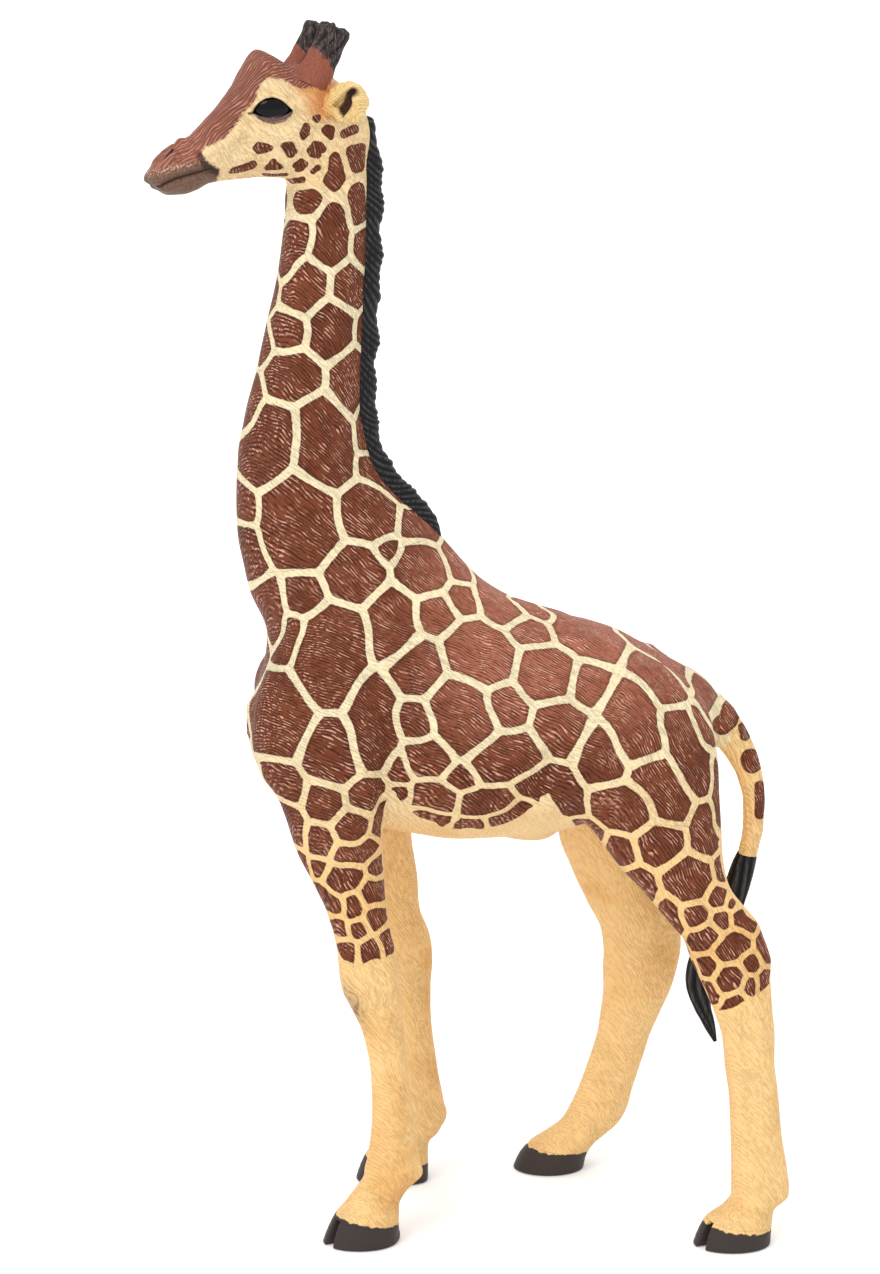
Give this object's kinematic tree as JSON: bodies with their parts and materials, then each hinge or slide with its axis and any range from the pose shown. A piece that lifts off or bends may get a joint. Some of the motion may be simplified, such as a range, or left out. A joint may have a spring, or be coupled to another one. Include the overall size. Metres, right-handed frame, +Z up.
{
  "type": "toy wild animal figure",
  "caption": "Standing reticulated giraffe figure in hand-painted plastic, with a long maned neck, ossicones, ears, cloven hooves and a tufted tail.",
  "frame": {"origin": "on the floor under the middle of the figure's outline", "axes": "+Z up, -X the way the giraffe faces, -Y its left side"},
  "size_m": [0.1158, 0.053, 0.2228],
  "materials": {
    "coat": "painted chestnut patches with cream lines between them, over moulded short hair",
    "leg": "painted warm cream with small chestnut patches above the knee, over moulded short hair",
    "ear": "painted cream with a dark brown hollow",
    "mane": "painted black over moulded strands, with a soft sheen",
    "hoof": "painted dark grey, slightly worn",
    "eye": "glossy black varnish"
  },
  "bodies": {
    "root": {"trunk_left_shell": "coat", "trunk_right_shell": "coat", "neck": "coat", "mane": "mane", "head": "coat", "left_ear": "ear", "right_ear": "ear", "left_ossicone": "mane", "right_ossicone": "mane", "left_eye": "eye", "right_eye": "eye", "left_foreleg": "leg", "right_foreleg": "leg", "left_hind_leg": "leg", "right_hind_leg": "leg", "left_fore_hoof": "hoof", "right_fore_hoof": "hoof", "left_hind_hoof": "hoof", "right_hind_hoof": "hoof", "tail": "coat", "tail_tuft": "mane"}
  },
  "joints": []
}
